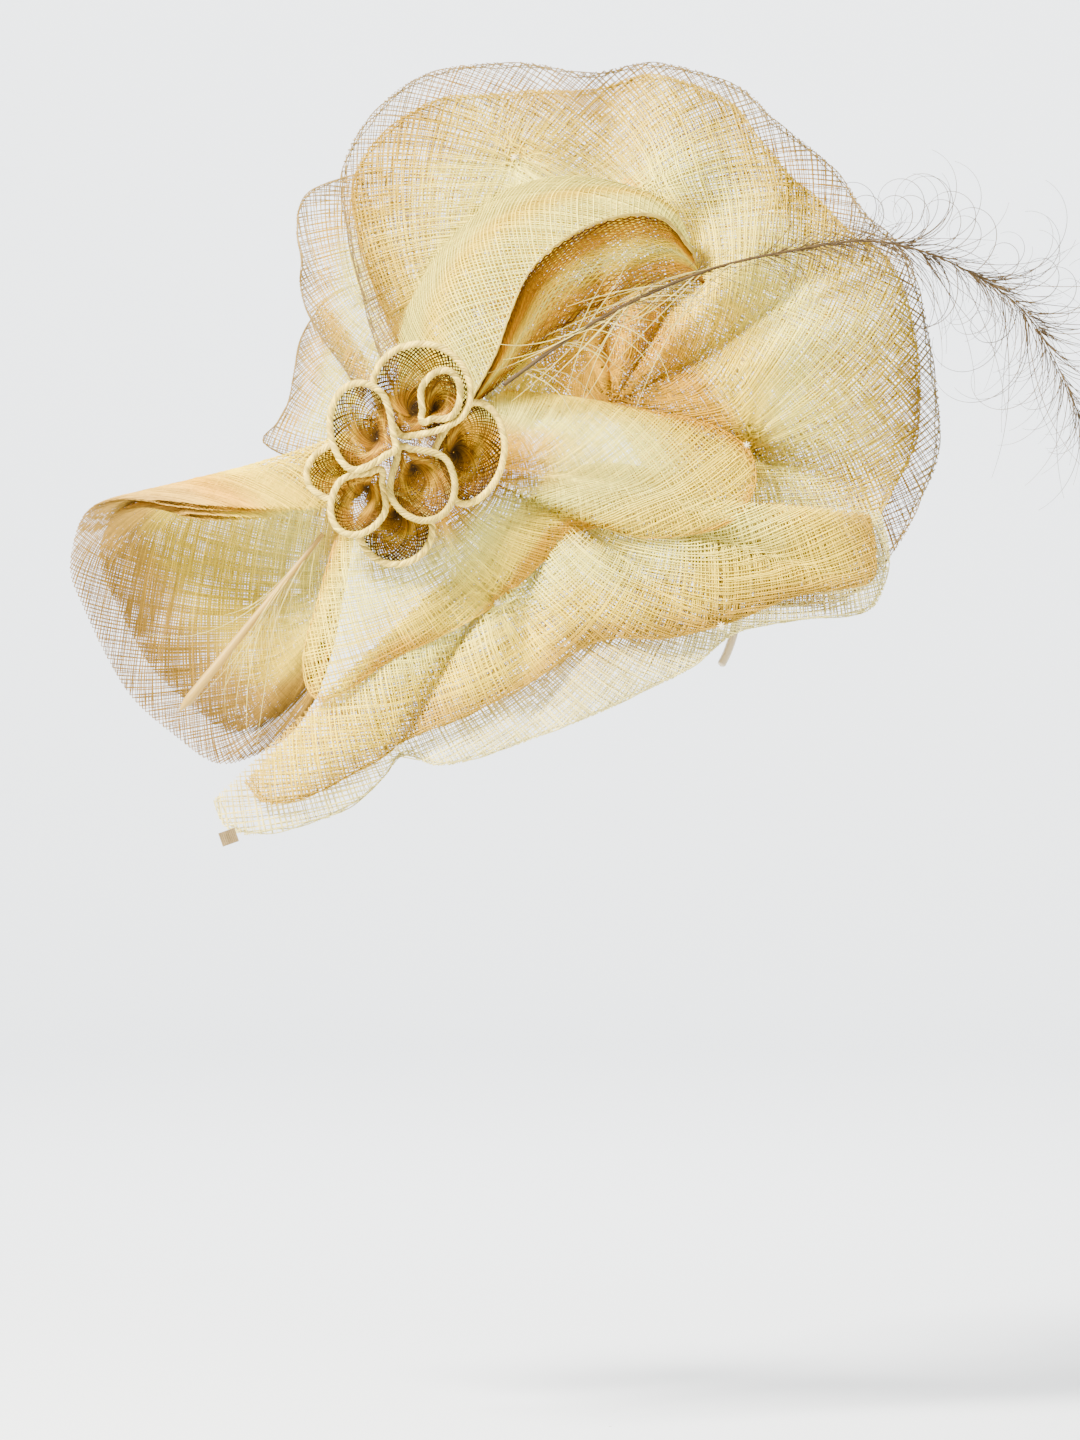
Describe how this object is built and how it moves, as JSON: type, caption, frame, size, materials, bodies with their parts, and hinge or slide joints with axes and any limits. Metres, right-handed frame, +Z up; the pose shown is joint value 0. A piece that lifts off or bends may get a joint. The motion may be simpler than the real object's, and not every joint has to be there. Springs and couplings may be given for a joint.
{
  "type": "fascinator headpiece",
  "caption": "Large sinamay headpiece: lobed fan and brim frills, rolled swirl, trumpet fold, loop flower, stripped feather and quill, on a domed base and sprung headband.",
  "frame": {"origin": "centre of the circle that the headband's inside follows, half way across the band's width", "axes": "+Z up as worn, +Y towards the back of the head along the headband's width, show side faces -Y, +X towards the feather's tip"},
  "size_m": [0.5855, 0.22, 0.4474],
  "materials": {
    "sinamay": "open-weave straw cloth, cream shading to tan near the edges",
    "flower_sinamay": "open-weave straw cloth, golden tan",
    "rolled_edge": "rolled bias edge of straw cloth",
    "base_sinamay": "stiffened close-woven straw cloth",
    "binding": "ribbed bias binding",
    "satin": "satin, low sheen",
    "spring_steel": "spring strip",
    "thread": "sewing thread",
    "feather": "stripped feather, fine hair-like barbs",
    "quill": "horn-like quill, satin"
  },
  "bodies": {
    "headpiece": {"back_leaf": "sinamay", "back_lobe": "sinamay", "band_core": "spring_steel", "band_cover": "satin", "band_stitches": "thread", "base_binding": "binding", "base_cap": "base_sinamay", "base_stitches": "thread", "brim_top": "sinamay", "brim_under": "sinamay", "edging_end": "binding", "fan_top": "sinamay", "fan_under": "sinamay", "flower_backing": "flower_sinamay", "flower_knot": "thread", "front_frill": "sinamay", "petal_1": "flower_sinamay", "petal_2": "flower_sinamay", "petal_3": "flower_sinamay", "petal_4": "flower_sinamay", "petal_5": "flower_sinamay", "petal_6": "flower_sinamay", "petal_7": "flower_sinamay", "petal_8": "flower_sinamay", "petal_edge_1": "rolled_edge", "petal_edge_2": "rolled_edge", "petal_edge_3": "rolled_edge", "petal_edge_4": "rolled_edge", "petal_edge_5": "rolled_edge", "petal_edge_6": "rolled_edge", "petal_edge_7": "rolled_edge", "petal_edge_8": "rolled_edge", "quill": "quill", "quill_strands": "feather", "swirl_inner": "sinamay", "swirl_outer": "sinamay", "trumpet_inner": "sinamay", "trumpet_outer": "sinamay", "tuck_stitches": "thread"},
    "left_leg": {"left_leg_cover": "satin", "left_leg_core": "spring_steel", "left_leg_tip": "satin"},
    "right_leg": {"right_leg_cover": "satin", "right_leg_core": "spring_steel", "right_leg_tip": "satin"},
    "feather": {"feather_spine": "feather", "feather_barbs": "feather"}
  },
  "joints": [
    {"name": "left_flex", "type": "hinge", "parent": "headpiece", "child": "left_leg", "pos_m": [-0.05145, 0, 0.05484], "axis": [0, 1, 0], "range_deg": [0, 10], "stiffness_Nm_per_rad": 0.3},
    {"name": "right_flex", "type": "hinge", "parent": "headpiece", "child": "right_leg", "pos_m": [0.07332, 0, 0.01669], "axis": [0, -1, 0], "range_deg": [0, 10], "stiffness_Nm_per_rad": 0.3},
    {"name": "feather_sway", "type": "hinge", "parent": "headpiece", "child": "feather", "pos_m": [-0.06, -0.106, 0.118], "axis": [0, 1, 0], "range_deg": [-4, 4], "stiffness_Nm_per_rad": 0.3}
  ]
}
